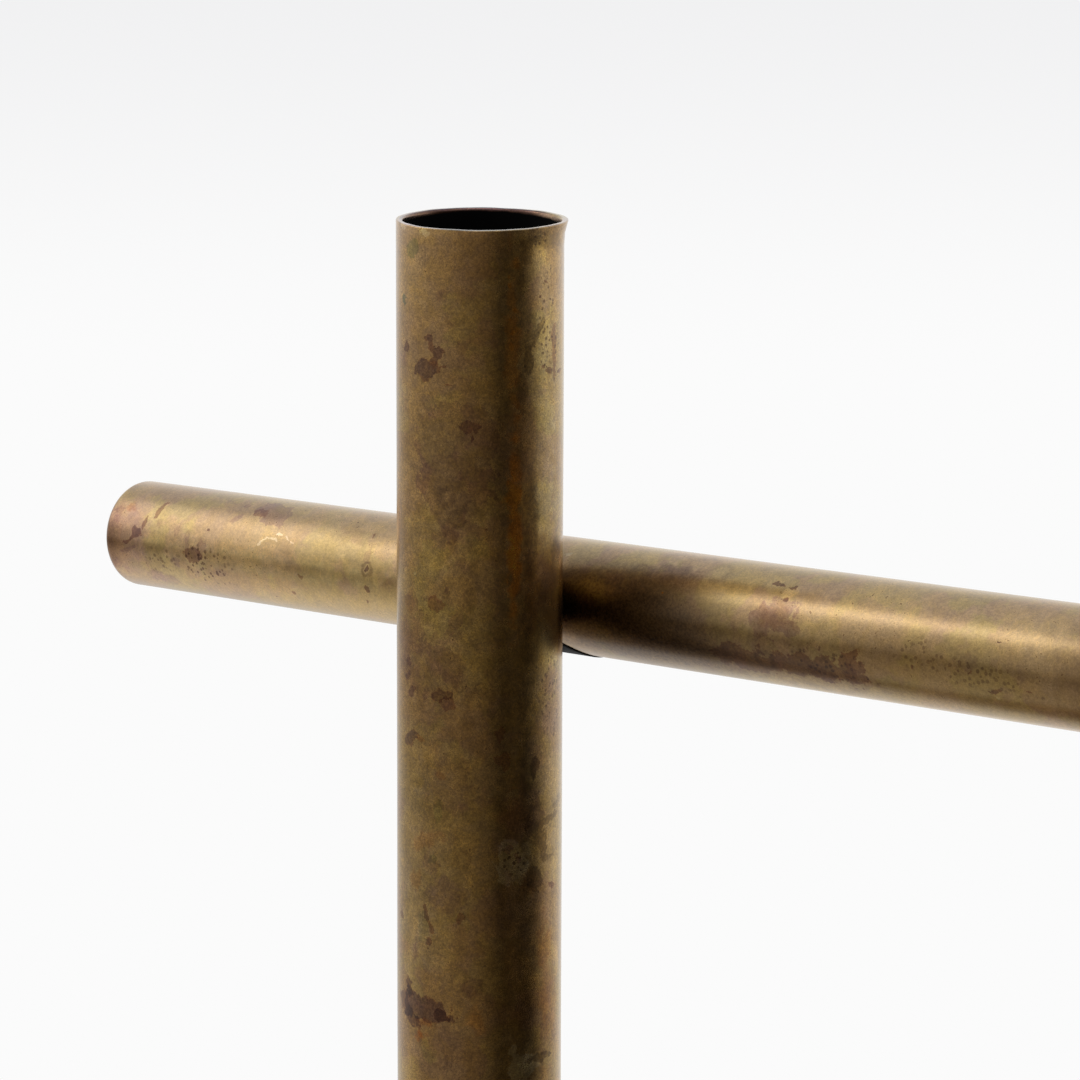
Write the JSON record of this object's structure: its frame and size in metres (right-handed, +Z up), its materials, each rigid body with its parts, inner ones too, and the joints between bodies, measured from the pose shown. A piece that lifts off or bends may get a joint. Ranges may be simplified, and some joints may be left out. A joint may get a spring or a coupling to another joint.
{
  "type": "candle holder",
  "caption": "Cross-shaped candle holder: an upright brass tube with an open top takes the candle, a thinner level tube is bolted behind it, and a round plate keeps it standing.",
  "frame": {"origin": "on the upright tube's axis, on the surface that the holder stands on", "axes": "+Z up along the upright tube, +X along the cross bar, +Y from the upright tube to the cross bar behind it"},
  "size_m": [0.2005, 0.12, 0.2509],
  "materials": {
    "aged_brass": "satin, with a blotchy olive-brown patina, reddish stains and fine pits",
    "dark_brass": "dull, darkened by soot and age",
    "zinc_steel": "zinc plated",
    "black_plastic": "moulded, satin",
    "black_rubber": "matt, fine grain"
  },
  "bodies": {
    "root": {"post_tube": "aged_brass", "candle_stop": "dark_brass", "foot_plug": "dark_brass", "cross_bar": "aged_brass", "bar_end_plug_left": "aged_brass", "bar_end_plug_right": "aged_brass", "access_plug": "black_plastic", "joint_bolt": "zinc_steel", "post_saddle_washer": "zinc_steel", "bar_saddle_washer": "zinc_steel", "joint_lock_washer": "zinc_steel", "joint_nut": "zinc_steel", "base_plate": "aged_brass", "base_screw": "zinc_steel", "base_pad": "black_rubber"}
  },
  "joints": []
}
